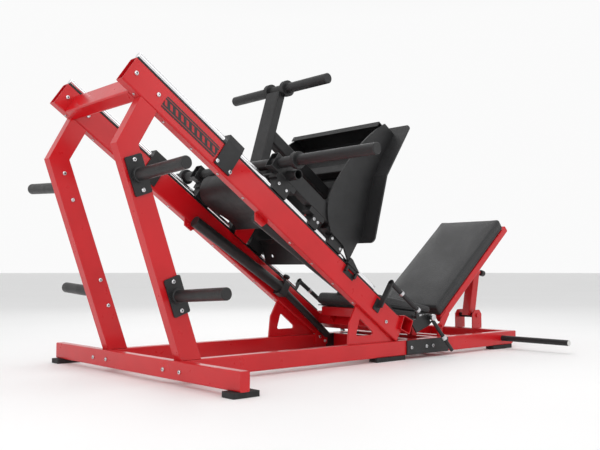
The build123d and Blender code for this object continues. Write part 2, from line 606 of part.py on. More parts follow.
BLOCKS = ((751, 843), (1020, 1073), (1166, 1264))
with BuildPart() as bearing_blocks:
    for side, sign in SIDES:
        for low, high in BLOCKS:
            extrude(block(rail_section(low, sign * RAIL_Y), -27, 27, 126, 180), amount=high - low)
        start = rail_section(BLOCKS[0][0] - 5, sign * RAIL_Y)
        extrude(disc(start, SHAFT_RADIUS + BORE_GAP, 0, (0, SHAFT_LIFT)), amount=600, mode=Mode.SUBTRACT)
keep("bearing_blocks", bearing_blocks)

with BuildPart() as carriage_plates:
    for side, sign in SIDES:
        for low, high, reach in ((738, 868, 329.9), (985, 1090, 329.9), (1125, 1275, 329.9)):
            start = rail_section(low, 0)
            inner, outer = sorted((sign * 277.0, sign * reach))
            extrude(block(start, inner, outer, 180, SIDE_LOW), amount=high - low)
keep("carriage_plates", carriage_plates)

with BuildPart() as sled_skirt:
    extrude(outline(rail_side(), [(1230, 181), (1318, 106), (1321, 111), (1232, 187)]), amount=272, both=True)
    extrude(block(rail_side(), 1200, 1232, 181, 187), amount=277, both=True)
    skirt_mid = rail_point(1284, 138.5)
    skirt_dir = rail_point(1318, 106) - rail_point(1238, 174)
    for side, sign in SIDES:
        hole_plane = Plane(origin=skirt_mid + Vector(0, sign * 205, 0), x_dir=(0, 1, 0), z_dir=Vector(skirt_dir.Z, 0, -skirt_dir.X))
        extrude(disc(hole_plane, 9), amount=20, both=True, mode=Mode.SUBTRACT)
keep("sled_skirt", sled_skirt)

with BuildPart() as sled_lugs:
    for side, sign in SIDES:
        lug = [(1040, 104), (1127, 104), (1127, 262), (1035, 262), (1035, 120)]
        extrude(outline(rail_side(sign * 245), lug), amount=5, both=True)
        web = [(1035, 230), (1127, 230), (1127, 262), (1035, 262)]
        extrude(outline(rail_side(sign * 265), web), amount=15, both=True)
keep("sled_lugs", sled_lugs)

with BuildPart() as sled_cover:
    with BuildSketch(rail_side()) as cover_sketch:
        with BuildLine():
            Spline((716, 222), (708, 150), (738, 110), (800, 96), (1009, 106))
            Line((1009, 106), (1009, 110))
            Spline((1009, 110), (800, 100), (740.5, 113), (712, 150.5), (719.5, 222))
            Line((719.5, 222), (716, 222))
        make_face()
    extrude(cover_sketch.sketch, amount=205, both=True)
keep("sled_cover", sled_cover)

# ---- safety stops: swinging catches in front of the sled's nose ------------------------------
CATCH_Y = 336.0
CATCH_LIFT = 108.0
for side, sign in SIDES:
    with BuildPart() as safety_stop:
        wedge = [(NOSE_STATION + 0.5, 118), (NOSE_STATION + 0.5, 150), (1340, 150), (1412, 122), (1412, 118)]
        extrude(outline(rail_side(sign * CATCH_Y), wedge), amount=8, both=True)
        web = block(rail_side(sign * CATCH_Y), 1340, 1396, CATCH_LIFT, 119)
        extrude(web, amount=4, both=True)
        barrel = rail_section(1340, sign * CATCH_Y)
        extrude(disc(barrel, 7, 0, (0, CATCH_LIFT)), amount=56)
    keep("safety_stop_" + side, safety_stop)

with BuildPart() as stop_brackets:
    for side, sign in SIDES:
        for station in (1328, 1397):
            ear_plane = rail_section(station, sign * CATCH_Y)
            extrude(disc(ear_plane, 8, 0, (0, CATCH_LIFT)), amount=11)
        backing = block(rail_side(sign * (RAIL_OUT + 1)), 1328, 1408, 70, 96)
        extrude(backing, amount=1, both=True)
        for station in (1328, 1397):
            ear = block(rail_section(station, sign * CATCH_Y), -8.4, 8, 80, CATCH_LIFT)
            extrude(block(rail_section(station, sign * CATCH_Y), -8, 8, 80, CATCH_LIFT), amount=11)
    for side, sign in SIDES:
        extrude(block(rail_section(1300, sign * RAIL_Y), -25, 25, 0, 115), amount=140, mode=Mode.SUBTRACT)
keep("stop_brackets", stop_brackets)

# ---- backrest --------------------------------------------------------------------------------
with BuildPart() as back_pad:
    extrude(block(back_side(), 0, BACK_PAD_LENGTH, 0.3, BACK_PAD_THICKNESS, 14), amount=PAD_HALF, both=True)
    fillet(back_pad.faces().filter_by(Axis.Y).edges(), 10)
keep("back_pad", back_pad)

FRAME_HALF = 225.0
TUBE_RUN = 825.0
HEAD_RUN = 797.0
H_RUN = (Vector(BACK_HINGE[0] - BACK_FOOT[0], 0, BACK_HINGE[1] - BACK_FOOT[1])).dot(UP_BACK)
H_OUT = (Vector(BACK_HINGE[0] - BACK_FOOT[0], 0, BACK_HINGE[1] - BACK_FOOT[1])).dot(OFF_BACK)
T_RUN = (Vector(STRUT_HEAD[0] - BACK_FOOT[0], 0, STRUT_HEAD[1] - BACK_FOOT[1])).dot(UP_BACK)
T_OUT = (Vector(STRUT_HEAD[0] - BACK_FOOT[0], 0, STRUT_HEAD[1] - BACK_FOOT[1])).dot(OFF_BACK)
HINGE_RADIUS = 8.0
with BuildPart() as backrest_frame:
    for side, sign in SIDES:
        tube_plane = Plane(origin=back_side(sign * (FRAME_HALF - 20)).from_local_coords((0, -20, 0)), x_dir=(0, 1, 0), z_dir=UP_BACK)
        extrude(hollow(tube_plane, 40, 40), amount=TUBE_RUN)
        for offset_run in (0, TUBE_RUN - 4):
            with BuildSketch(tube_plane.offset(offset_run)) as lid:
                RectangleRounded(40, 40, 6)
            extrude(lid.sketch, amount=4)
        knuckle = [(0, -4), (64, -4), (64, -36), (H_RUN + 16, H_OUT - 18), (H_RUN - 14, H_OUT - 16), (H_RUN - 18, H_OUT + 12)]
        extrude(outline(back_side(sign * (FRAME_HALF + 3)), knuckle, 6), amount=3, both=True)
    for run in (40, 420, HEAD_RUN):
        cross = Plane(origin=back_side(-FRAME_HALF + 40).from_local_coords((run, -20, 0)), x_dir=UP_BACK, z_dir=(0, 1, 0))
        extrude(hollow(cross, 40, 40), amount=2 * FRAME_HALF - 80)
    for y in (-34, 34):
        lug = [(HEAD_RUN - 19, -39), (HEAD_RUN + 19, -39), (T_RUN + 15, T_OUT), (T_RUN + 9, T_OUT - 14), (T_RUN - 9, T_OUT - 14), (T_RUN - 15, T_OUT)]
        extrude(outline(back_side(y), lug), amount=3, both=True)
    hinge_bore = Plane(origin=(BACK_HINGE[0], -260, BACK_HINGE[1]), z_dir=(0, 1, 0))
    extrude(disc(hinge_bore, HINGE_RADIUS + BORE_GAP), amount=520, mode=Mode.SUBTRACT)
    head_pin = Plane(origin=(STRUT_HEAD[0], -42, STRUT_HEAD[1]), z_dir=(0, 1, 0))
    extrude(disc(head_pin, HINGE_RADIUS), amount=84)
keep("backrest_frame", backrest_frame)

with BuildPart() as backrest_lugs:
    for side, sign in SIDES:
        lug = [(1794, BASE_TOP), (1836, BASE_TOP), (1831, BACK_HINGE[1]), (1825, BACK_HINGE[1] + 12), (1805, BACK_HINGE[1] + 12), (1799, BACK_HINGE[1])]
        extrude(outline(upright_plane(sign * 217), lug), amount=5, both=True)
        pin = Plane(origin=(BACK_HINGE[0], sign * 214, BACK_HINGE[1]), z_dir=(0, sign, 0))
        extrude(disc(pin, HINGE_RADIUS), amount=24)
keep("backrest_lugs", backrest_lugs)

STRUT = Vector(STRUT_HEAD[0] - STRUT_FOOT[0], 0, STRUT_HEAD[1] - STRUT_FOOT[1])
STRUT_UP = STRUT.normalized()
STRUT_AHEAD = Vector(STRUT_UP.Z, 0, -STRUT_UP.X)
STRUT_FOOT_AT = Vector(STRUT_FOOT[0], 0, STRUT_FOOT[1])
STRUT_BOTTOM = Plane(origin=STRUT_FOOT_AT, x_dir=(0, 1, 0), z_dir=STRUT_UP)
OUTER_RUN = (STRUT_TOP_Z - STRUT_FOOT[1]) / STRUT_UP.Z
POP_RUN = OUTER_RUN - 18
FOOT_RADIUS = 9.0
with BuildPart() as strut_outer:
    extrude(hollow(STRUT_BOTTOM.offset(-6), 60, 60, 4, 7), amount=OUTER_RUN + 6)
    foot_bore = Plane(origin=(STRUT_FOOT[0], -80, STRUT_FOOT[1]), z_dir=(0, 1, 0))
    extrude(disc(foot_bore, 14), amount=160, mode=Mode.SUBTRACT)
    boss = Plane(origin=STRUT_FOOT_AT + STRUT_UP * POP_RUN + STRUT_AHEAD * 29, z_dir=STRUT_AHEAD)
    extrude(disc(boss, 12), amount=31)
    extrude(disc(boss.offset(-5), 6 + BORE_GAP), amount=60, mode=Mode.SUBTRACT)
keep("strut_outer", strut_outer)

with BuildPart() as strut_sleeve:
    sleeve = Plane(origin=(STRUT_FOOT[0], -60.5, STRUT_FOOT[1]), z_dir=(0, 1, 0))
    extrude(disc(sleeve, 14, FOOT_RADIUS + BORE_GAP), amount=121)
keep("strut_sleeve", strut_sleeve)

with BuildPart() as strut_inner:
    extrude(hollow(STRUT_BOTTOM.offset(60), 50, 50, 4, 6), amount=STRUT.length - 60 + 15)
    head_bore = Plane(origin=(STRUT_HEAD[0], -80, STRUT_HEAD[1]), z_dir=(0, 1, 0))
    extrude(disc(head_bore, HINGE_RADIUS + 3.4), amount=160, mode=Mode.SUBTRACT)
    split(bisect_by=Plane(origin=back_side().from_local_coords((0, -50, 0)), z_dir=OFF_BACK), keep=Keep.BOTTOM)
    for hole in range(5):
        bore = Plane(origin=STRUT_FOOT_AT + STRUT_UP * (POP_RUN - 25 * hole), z_dir=STRUT_AHEAD)
        extrude(disc(bore, 7), amount=40, mode=Mode.SUBTRACT)
keep("strut_inner", strut_inner)

with BuildPart() as strut_pin:
    stem = Plane(origin=STRUT_FOOT_AT + STRUT_UP * POP_RUN + STRUT_AHEAD * 26.5, z_dir=STRUT_AHEAD)
    extrude(disc(stem, 6), amount=55)
    extrude(disc(stem.offset(46), 19), amount=36)
    round_ends(strut_pin, 19, 5)
keep("strut_pin", strut_pin)

with BuildPart() as strut_clevis:
    for side, sign in SIDES:
        lug = [(2322, BASE_TOP), (2414, BASE_TOP), (2414, 186), (2392, 212), (2344, 212), (2322, 186)]
        extrude(outline(upright_plane(sign * 64), lug), amount=3, both=True)
        pin_end = Plane(origin=(STRUT_FOOT[0], sign * 67, STRUT_FOOT[1]), z_dir=(0, sign, 0))
        extrude(disc(pin_end, 13), amount=7)
    fillet(strut_clevis.edges().filter_by(Axis.Y).group_by(Axis.Z)[-1], 10)
    foot_pin = Plane(origin=(STRUT_FOOT[0], -68, STRUT_FOOT[1]), z_dir=(0, 1, 0))
    extrude(disc(foot_pin, FOOT_RADIUS), amount=136)
keep("strut_clevis", strut_clevis)

# ---- fasteners -------------------------------------------------------------------------------
UP_LEG = Vector(-math.sin(LEG_LEAN), 0, math.cos(LEG_LEAN))
frame_places = []
screw_places = []
sled_places = []
for side, sign in SIDES:
    out = (0, sign, 0)
    inward = (0, -sign, 0)
    for y in (241.5, 363.5):
        frame_places.append(((0, sign * y, 58), (-1, 0, 0)))
    for x, z in PEG_PLACES:
        for end in (-62, 62):
            at = Vector(x, 0, z) + UP_LEG * end
            frame_places.append(((at.X, sign * (RAIL_OUT + 8), at.Z), out))
            frame_places.append(((at.X, sign * RAIL_IN, at.Z), inward))
    for station, lift in ((-48, 61), (76, 61), (1724, 39)):
        frame_places.append((rail_point(station, lift, sign * RAIL_OUT), out))
        frame_places.append((rail_point(station, lift, sign * RAIL_IN), inward))
    for x in (1435, 1555, 1610):
        frame_places.append(((x, sign * (RAIL_OUT + 8), 60), out))
    for x, z in ((1346, 84), (1384, 58)):
        frame_places.append(((x, sign * (RAIL_IN - 12.4), z), inward))
    for number in range(10):
        station = 165.86 * number
        if number != 5:
            screw_places.append((rail_point(station, 0, sign * RAIL_Y), tuple(-OFF_RAIL)))
    for station, lift in ((447, 26), (526, 28)):
        frame_places.append((rail_point(station, lift, sign * (RAIL_Y + 33)), out))
    for station, lift in ((771, 166), (824, 166), (1033, 164), (1061, 164), (1180, 160), (1250, 148)):
        sled_places.append((rail_point(station, lift, sign * (RAIL_Y + 27)), out))
with BuildPart() as frame_bolts:
    add(bolt_heads(frame_places).part)
    add(bolt_heads(screw_places, 6.0, 4.0).part)
keep("frame_bolts", frame_bolts)
sled_bolts = bolt_heads(sled_places, 7.5, 3.0)
keep("sled_bolts", sled_bolts)

# ---- place the origin at the bottom centre and write every piece -----------------------------
boxes = [part.bounding_box() for part in finished.values()]
MIDDLE_X = (min(box.min.X for box in boxes) + max(box.max.X for box in boxes)) / 2
print("pieces", len(finished), "origin moved by", round(-MIDDLE_X, 3), "lowest", min(box.min.Z for box in boxes))
print("size", [max(getattr(box.max, axis) for box in boxes) - min(getattr(box.min, axis) for box in boxes) for axis in "XYZ"])
for name, part in finished.items():
    placed = Location((-MIDDLE_X, 0, 0)) * part
    placed.label = name
    export_step(placed, "parts/" + name + ".step")
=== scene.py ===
import math
import bpy
import bmesh
import numpy as np
from mathutils import Matrix, Vector
from mathutils.bvhtree import BVHTree


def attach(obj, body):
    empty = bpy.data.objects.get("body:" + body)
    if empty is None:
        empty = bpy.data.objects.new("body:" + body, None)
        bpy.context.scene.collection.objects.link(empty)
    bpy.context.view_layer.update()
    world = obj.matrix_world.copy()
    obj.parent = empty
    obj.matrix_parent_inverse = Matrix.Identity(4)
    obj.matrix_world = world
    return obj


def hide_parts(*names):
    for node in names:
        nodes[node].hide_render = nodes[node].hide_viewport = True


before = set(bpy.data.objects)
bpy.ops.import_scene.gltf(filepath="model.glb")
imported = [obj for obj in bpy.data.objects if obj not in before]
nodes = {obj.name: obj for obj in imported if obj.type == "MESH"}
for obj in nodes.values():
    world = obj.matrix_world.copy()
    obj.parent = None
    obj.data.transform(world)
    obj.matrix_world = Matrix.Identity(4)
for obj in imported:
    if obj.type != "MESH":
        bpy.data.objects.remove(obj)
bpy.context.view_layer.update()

scene = bpy.context.scene

# The press stands with its middle over X 0; bench measures count from the rear face of the rear crossbar.
REAR_FACE = 1.132258
LEAN = math.radians(39.7)
UP_BACK = Vector((math.cos(LEAN), 0, math.sin(LEAN)))
OFF_BACK = Vector((-math.sin(LEAN), 0, math.cos(LEAN)))
BACK_FOOT = Vector((1.814 - REAR_FACE, 0, 0.200))
RAIL_SLOPE = math.radians(35.087)
BADGE_MIDDLE = 0.250388  # how far the badge's middle line lies from the origin, square to the rail

# Sewing and stuffing
VOXEL = 0.0055
PUFF_STEPS = 20
SEAM_AIMS = 720
SQUARENESS = 0.16  # how squarely a seam turns the corners of its pad
WELT_POINTS = 260
BIGGEST_BOLT = 0.03


# ---------------------------------------------------------------- finishes

class Finish:
    """A material under construction: its node tree, its shader and the point on the piece."""

    def __init__(self, name):
        self.material = bpy.data.materials.new(name)
        self.material.use_nodes = True
        self.tree = self.material.node_tree
        self.shader = self.tree.nodes["Principled BSDF"]
        self.place = self.add("ShaderNodeTexCoord").outputs["Object"]

    def add(self, kind, **settings):
        node = self.tree.nodes.new(kind)
        for key, value in settings.items():
            setattr(node, key, value)
        return node

    def wire(self, source, target):
        self.tree.links.new(source, target)

    def set(self, **sockets):
        for key, value in sockets.items():
            self.shader.inputs[key.replace("_", " ")].default_value = value

    def noise(self, scale, detail=4.0, roughness=0.55, stretch=None):
        node = self.add("ShaderNodeTexNoise")
        node.inputs["Scale"].default_value = scale
        node.inputs["Detail"].default_value = detail
        node.inputs["Roughness"].default_value = roughness
        place = self.place
        if stretch:
            mapping = self.add("ShaderNodeMapping")
            mapping.inputs["Scale"].default_value = stretch
            self.wire(self.place, mapping.inputs["Vector"])
            place = mapping.outputs["Vector"]
        self.wire(place, node.inputs["Vector"])
        return node.outputs["Fac"]

    def pebbles(self, scale):
        node = self.add("ShaderNodeTexVoronoi", feature="DISTANCE_TO_EDGE")
        node.inputs["Scale"].default_value = scale
        self.wire(self.place, node.inputs["Vector"])
        return node.outputs["Distance"]

    def spread(self, source, low, high, out_low, out_high):
        node = self.add("ShaderNodeMapRange")
        for key, value in (("From Min", low), ("From Max", high), ("To Min", out_low), ("To Max", out_high)):
            node.inputs[key].default_value = value
        self.wire(source, node.inputs["Value"])
        return node.outputs["Result"]

    def mix(self, amount, first, second):
        node = self.add("ShaderNodeMix", data_type="RGBA")
        self.wire(amount, node.inputs["Factor"])
        a = [s for s in node.inputs if s.name == "A" and s.type == "RGBA"][0]
        b = [s for s in node.inputs if s.name == "B" and s.type == "RGBA"][0]
        for socket, colour in ((a, first), (b, second)):
            if isinstance(colour, bpy.types.NodeSocket):
                self.wire(colour, socket)
            else:
                socket.default_value = (*colour, 1)
        return [s for s in node.outputs if s.type == "RGBA"][0]

    def sums(self, operation, first, second):
        node = self.add("ShaderNodeMath", operation=operation)
        for socket, value in zip(node.inputs, (first, second)):
            if isinstance(value, bpy.types.NodeSocket):
                self.wire(value, socket)
            else:
                socket.default_value = value
        return node.outputs["Value"]

    def close_to(self, source, value, reach):
        """1 where the source is within reach of the value."""
        node = self.add("ShaderNodeMath", operation="COMPARE")
        self.wire(source, node.inputs[0])
        node.inputs[1].default_value = value
        node.inputs[2].default_value = reach
        return node.outputs["Value"]

    def edge_highlight_mask(self, radius):
        """0 on flat faces, rising to 1 on the rounded rim of a folded or cut edge, where the finishes paint a
        highlight.
        """
        rounded = self.add("ShaderNodeBevel", samples=4)
        rounded.inputs["Radius"].default_value = radius
        plain = self.add("ShaderNodeNewGeometry")
        dot = self.add("ShaderNodeVectorMath", operation="DOT_PRODUCT")
        self.wire(rounded.outputs["Normal"], dot.inputs[0])
        self.wire(plain.outputs["Normal"], dot.inputs[1])
        return self.spread(dot.outputs["Value"], 0.995, 0.86, 0.0, 1.0), rounded.outputs["Normal"]

    def relief(self, height, strength, distance, normal=None):
        bump = self.add("ShaderNodeBump")
        bump.inputs["Strength"].default_value = strength
        bump.inputs["Distance"].default_value = distance
        self.wire(height, bump.inputs["Height"])
        if normal is not None:
            self.wire(normal, bump.inputs["Normal"])
        return bump.outputs["Normal"]

    def colour(self, source):
        self.wire(source, self.shader.inputs["Base Color"])

    def roughness(self, source):
        self.wire(source, self.shader.inputs["Roughness"])

    def normal(self, source):
        self.wire(source, self.shader.inputs["Normal"])


def gloss_red_powder_coat():
    f = Finish("gloss_red_powder_coat")
    patches = f.spread(f.noise(5.0, 3.0), 0.35, 0.65, 0.0, 1.0)
    coat = f.mix(patches, (0.52, 0.0045, 0.0085), (0.58, 0.006, 0.011))
    rim, rounded = f.edge_highlight_mask(0.0022)
    # Painted highlight: the rounded edges are mixed towards a lighter red, broken up by noise.
    edge_highlight = f.sums("MULTIPLY", rim, f.spread(f.noise(38.0, 5.0), 0.42, 0.62, 0.0, 0.55))
    f.colour(f.mix(edge_highlight, coat, (0.70, 0.045, 0.05)))
    f.roughness(f.spread(f.noise(22.0, 5.0), 0.3, 0.75, 0.27, 0.34))
    peel = f.noise(420.0, 2.0, 0.5)
    f.normal(f.relief(peel, 0.10, 0.0006, rounded))
    f.set(Coat_Weight=0.30, Coat_Roughness=0.12, Specular_IOR_Level=0.30)
    return f.material


def black_wrinkle_powder_coat():
    f = Finish("black_wrinkle_powder_coat")
    patches = f.spread(f.noise(9.0, 4.0), 0.3, 0.7, 0.0, 1.0)
    coat = f.mix(patches, (0.012, 0.012, 0.0125), (0.019, 0.019, 0.020))
    rim, rounded = f.edge_highlight_mask(0.0016)
    # Painted highlight: the rounded edges are mixed towards a lighter grey, broken up by noise.
    edge_highlight = f.sums("MULTIPLY", rim, f.spread(f.noise(55.0, 5.0), 0.40, 0.62, 0.0, 0.8))
    f.colour(f.mix(edge_highlight, coat, (0.085, 0.085, 0.088)))
    f.roughness(f.spread(f.noise(30.0, 5.0), 0.3, 0.7, 0.36, 0.50))
    grit = f.sums("ADD", f.noise(900.0, 3.0, 0.6), f.spread(f.pebbles(700.0), 0.0, 0.3, 0.0, 0.5))
    f.normal(f.relief(grit, 0.28, 0.0006, rounded))
    f.set(Specular_IOR_Level=0.38)
    return f.material


def grained_vinyl():
    f = Finish("grained_vinyl")
    cloud = f.spread(f.noise(7.0, 4.0), 0.3, 0.7, 0.0, 1.0)
    skin = f.mix(cloud, (0.020, 0.020, 0.0215), (0.031, 0.031, 0.033))
    cells = f.spread(f.pebbles(330.0), 0.0, 0.16, 0.0, 1.0)
    f.colour(f.mix(cells, (0.012, 0.012, 0.013), skin))
    polish = f.spread(f.noise(6.0, 3.0), 0.35, 0.7, 0.0, 0.10)
    f.roughness(f.sums("ADD", f.spread(cells, 0.0, 1.0, 0.60, 0.43), polish))
    grain = f.sums("ADD", cells, f.spread(f.noise(900.0, 3.0), 0.2, 0.8, 0.0, 0.35))
    f.normal(f.relief(grain, 0.42, 0.0007))
    f.set(Sheen_Weight=0.06, Sheen_Roughness=0.5, Specular_IOR_Level=0.45)
    return f.material


def polished_chrome():
    f = Finish("polished_chrome")
    film = f.spread(f.noise(12.0, 4.0), 0.3, 0.7, 0.0, 1.0)
    f.colour(f.mix(film, (0.80, 0.80, 0.82), (0.90, 0.90, 0.91)))
    marks = f.noise(60.0, 5.0, 0.6, (0.35, 6.0, 0.35))
    f.roughness(f.spread(marks, 0.3, 0.75, 0.07, 0.19))
    f.normal(f.relief(marks, 0.05, 0.0003))
    f.set(Metallic=1.0)
    return f.material


def zinc_plate():
    f = Finish("zinc_plate")
    film = f.spread(f.noise(90.0, 5.0), 0.3, 0.7, 0.0, 1.0)
    f.colour(f.mix(film, (0.50, 0.50, 0.52), (0.72, 0.72, 0.73)))
    f.roughness(f.spread(f.noise(150.0, 4.0), 0.3, 0.7, 0.20, 0.36))
    f.normal(f.relief(f.noise(700.0, 3.0), 0.12, 0.0003))
    f.set(Metallic=1.0)
    return f.material


def moulded_black(name, light, rough, bump_scale, bump):
    f = Finish(name)
    dust = f.spread(f.noise(28.0, 5.0), 0.45, 0.75, 0.0, 1.0)
    f.colour(f.mix(dust, (light, light, light * 1.03), (light * 1.9, light * 1.9, light * 1.95)))
    f.roughness(f.spread(f.noise(60.0, 4.0), 0.3, 0.7, rough - 0.06, rough + 0.08))
    f.normal(f.relief(f.noise(bump_scale, 4.0, 0.6), bump, 0.0006))
    f.set(Specular_IOR_Level=0.4)
    return f.material


def ribbed_grip():
    f = Finish("ribbed_grip_rubber")
    rings = f.add("ShaderNodeTexWave", wave_type="BANDS", bands_direction="Y", wave_profile="SIN")
    rings.inputs["Scale"].default_value = 90.0
    rings.inputs["Distortion"].default_value = 0.0
    f.wire(f.place, rings.inputs["Vector"])
    f.colour(f.mix(rings.outputs["Fac"], (0.010, 0.010, 0.011), (0.022, 0.022, 0.023)))
    f.roughness(f.spread(f.noise(45.0, 5.0), 0.3, 0.7, 0.58, 0.74))
    grit = f.sums("ADD", rings.outputs["Fac"], f.spread(f.noise(700.0, 3.0), 0.2, 0.8, 0.0, 0.3))
    f.normal(f.relief(grit, 0.5, 0.0008))
    return f.material


def pale_cap_plastic():
    f = Finish("pale_cap_plastic")
    haze = f.spread(f.noise(30.0, 4.0), 0.3, 0.7, 0.0, 1.0)
    f.colour(f.mix(haze, (0.62, 0.62, 0.60), (0.76, 0.76, 0.74)))
    f.roughness(f.spread(f.noise(80.0, 4.0), 0.3, 0.7, 0.36, 0.50))
    f.normal(f.relief(f.noise(600.0, 3.0), 0.12, 0.0004))
    return f.material


def badge_plate():
    """Plain badge: slanting bars between two pinstripes that run down the beam, and no words."""
    f = Finish("badge_plate")
    rise = f.add("ShaderNodeVectorMath", operation="DOT_PRODUCT")
    f.wire(f.place, rise.inputs[0])
    rise.inputs[1].default_value = (math.sin(RAIL_SLOPE), 0, math.cos(RAIL_SLOPE))
    off_middle = f.sums("ABSOLUTE", f.sums("SUBTRACT", rise.outputs["Value"], BADGE_MIDDLE), 0.0)
    pinstripe = f.close_to(off_middle, 0.0195, 0.0014)
    band = f.close_to(off_middle, 0.0, 0.0105)
    bars = f.add("ShaderNodeTexWave", wave_type="BANDS", bands_direction="X", wave_profile="SAW")
    bars.inputs["Scale"].default_value = 12.0
    bars.inputs["Distortion"].default_value = 0.0
    f.wire(f.place, bars.inputs["Vector"])
    slant = f.spread(bars.outputs["Fac"], 0.54, 0.56, 0.0, 1.0)
    printed = f.sums("MAXIMUM", pinstripe, f.sums("MULTIPLY", band, slant))
    f.colour(f.mix(printed, (0.012, 0.012, 0.013), (0.45, 0.008, 0.013)))
    f.roughness(f.spread(f.noise(60.0, 4.0), 0.3, 0.7, 0.32, 0.46))
    f.normal(f.relief(f.noise(900.0, 3.0), 0.15, 0.0004))
    return f.material


def pale_floor():
    f = Finish("pale_floor")
    tone = f.spread(f.noise(0.6, 3.0), 0.3, 0.7, 0.0, 1.0)
    f.colour(f.mix(tone, (0.90, 0.90, 0.90), (0.92, 0.92, 0.92)))
    f.roughness(f.spread(f.noise(4.0, 3.0), 0.3, 0.7, 0.62, 0.72))
    return f.material


RED = gloss_red_powder_coat()
BLACK = black_wrinkle_powder_coat()
VINYL = grained_vinyl()
CHROME = polished_chrome()
ZINC = zinc_plate()
RUBBER = moulded_black("foot_rubber", 0.016, 0.72, 500.0, 0.4)
# Black plastic for the levers and pins; the bolt sockets also use this dark finish as painted shade.
BLACK_PLASTIC_AND_SOCKET_SHADE = moulded_black("moulded_black_plastic_and_socket_shade", 0.014, 0.40, 900.0, 0.2)
GRIP = ribbed_grip()
PALE = pale_cap_plastic()
BADGE = badge_plate()
THREAD = moulded_black("sewing_thread", 0.030, 0.62, 1500.0, 0.4)

FINISHES = {
    RED: (
        "rear_crossbar", "base_rails", "front_rails", "base_crossmembers", "uprights", "rail_toe_tube",
        "rail_beam_left", "rail_beam_right", "rail_gussets", "top_cross_tube", "stay_brackets", "seat_frame",
        "backrest_lugs", "strut_clevis", "sled_lugs", "backrest_frame", "strut_outer", "strut_inner",
    ),
    BLACK: (
        "splice_plates", "front_bars", "shaft_supports", "upper_stops", "storage_pegs", "rail_stays",
        "stay_clamps", "seat_plate", "side_brackets", "stop_brackets", "sled_sides", "horn_bar",
        "sled_cross_tubes", "sled_post", "t_bar", "foot_plate", "foot_plate_frame", "post_brace",
        "bearing_blocks", "carriage_plates", "sled_skirt", "sled_cover", "safety_stop_left",
        "safety_stop_right", "strut_sleeve",
    ),
    RUBBER: ("rubber_feet",),
    GRIP: ("hand_grips",),
    PALE: ("front_bar_caps",),
    CHROME: ("guide_shafts",),
    BLACK_PLASTIC_AND_SOCKET_SHADE: ("release_levers", "strut_pin", "stay_pin_left", "stay_pin_right"),
    BADGE: ("nameplates",),
    VINYL: ("seat_pad", "back_pad"),
    ZINC: ("bright_collars", "frame_bolts", "sled_bolts", "release_shaft", "lever_collars"),
}
for finish, names in FINISHES.items():
    for name in names:
        mesh_slots = nodes[name].material_slots
        if not mesh_slots:
            nodes[name].data.materials.append(finish)
        for mesh_slot in mesh_slots:
            mesh_slot.material = finish


# ---------------------------------------------------------------- workshop

def put(shape, name, finish, body, smooth=True):
    """Turns a finished bmesh into a piece that rides on a body."""
    bmesh.ops.recalc_face_normals(shape, faces=shape.faces)
    for face in shape.faces:
        face.smooth = smooth
    mesh = bpy.data.meshes.new(name)
    shape.to_mesh(mesh)
    shape.free()
    piece = bpy.data.objects.new(name, mesh)
    scene.collection.objects.link(piece)
    mesh.materials.append(finish)
    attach(piece, body)
    return piece


def loaf(corners, half, rim):
    """A cushion blank: a side outline of (x, z) points drawn out across the seat, its edges rounded."""
    shape = bmesh.new()
    side = [shape.verts.new((x, -half, z)) for x, z in corners]
    face = shape.faces.new(side)
    drawn = bmesh.ops.extrude_face_region(shape, geom=[face])
    far = [v for v in drawn["geom"] if isinstance(v, bmesh.types.BMVert)]
    bmesh.ops.translate(shape, verts=far, vec=(0, 2 * half, 0))
    bmesh.ops.recalc_face_normals(shape, faces=shape.faces)
    bmesh.ops.bevel(
        shape, geom=list(shape.edges), offset=rim, offset_type="OFFSET", affect="EDGES",
        segments=4, profile=0.5, material=-1,
    )
    return shape


def stuffed(name, corners, half, rim, swell, flat_from, flat_normal, body, node):
    """Blows the blank up as cloth, holds it flat on its board, and smooths it once."""
    shape = loaf(corners, half, rim)
    pad = put(shape, name, VINYL, body)
    remesh = pad.modifiers.new("even", "REMESH")
    remesh.mode = "VOXEL"
    remesh.voxel_size = VOXEL
    bpy.context.view_layer.update()
    even = bpy.data.meshes.new_from_object(pad.evaluated_get(bpy.context.evaluated_depsgraph_get()))
    pad.modifiers.remove(remesh)
    pad.data = even
    if not even.materials:
        even.materials.append(VINYL)
    before = [v.co.copy() for v in even.vertices]
    cloth = pad.modifiers.new("stuffing", "CLOTH")
    cloth.settings.quality = 4
    cloth.settings.mass = 0.4
    cloth.settings.tension_stiffness = 30
    cloth.settings.compression_stiffness = 30
    cloth.settings.shear_stiffness = 12
    cloth.settings.bending_stiffness = 2.0
    cloth.settings.use_pressure = True
    cloth.settings.uniform_pressure_force = 4.0
    cloth.settings.effector_weights.gravity = 0
    cloth.collision_settings.use_collision = False
    cloth.point_cache.frame_start = 1
    cloth.point_cache.frame_end = PUFF_STEPS
    for step in range(1, PUFF_STEPS + 1):
        scene.frame_set(step)
    swollen = bpy.data.meshes.new_from_object(pad.evaluated_get(bpy.context.evaluated_depsgraph_get()))
    after = [v.co.copy() for v in swollen.vertices]
    pad.modifiers.remove(cloth)
    bpy.data.meshes.remove(swollen)
    scene.frame_set(1)
    most = max((a - b).length for a, b in zip(after, before)) or 1.0
    for vertex, start, end in zip(even.vertices, before, after):
        step = end - start
        if most > swell:
            step *= swell / most
        spot = start + step
        under = (spot - flat_from).dot(flat_normal)
        if under < 0:
            spot -= flat_normal * under
        vertex.co = spot
    for polygon in even.polygons:
        polygon.use_smooth = True
    shape = bmesh.new()
    shape.from_mesh(even)
    for _ in range(3):
        bmesh.ops.smooth_vert(shape, verts=shape.verts, factor=0.5, use_axis_x=True, use_axis_y=True, use_axis_z=True)
    shape.to_mesh(even)
    shape.free()
    finer = pad.modifiers.new("finer", "SUBSURF")
    finer.levels = 1
    finer.render_levels = 1
    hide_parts(node)
    return pad


def skin_of(pad):
    shape = bmesh.new()
    shape.from_mesh(pad.data)
    tree = BVHTree.FromBMesh(shape)
    shape.free()
    return tree


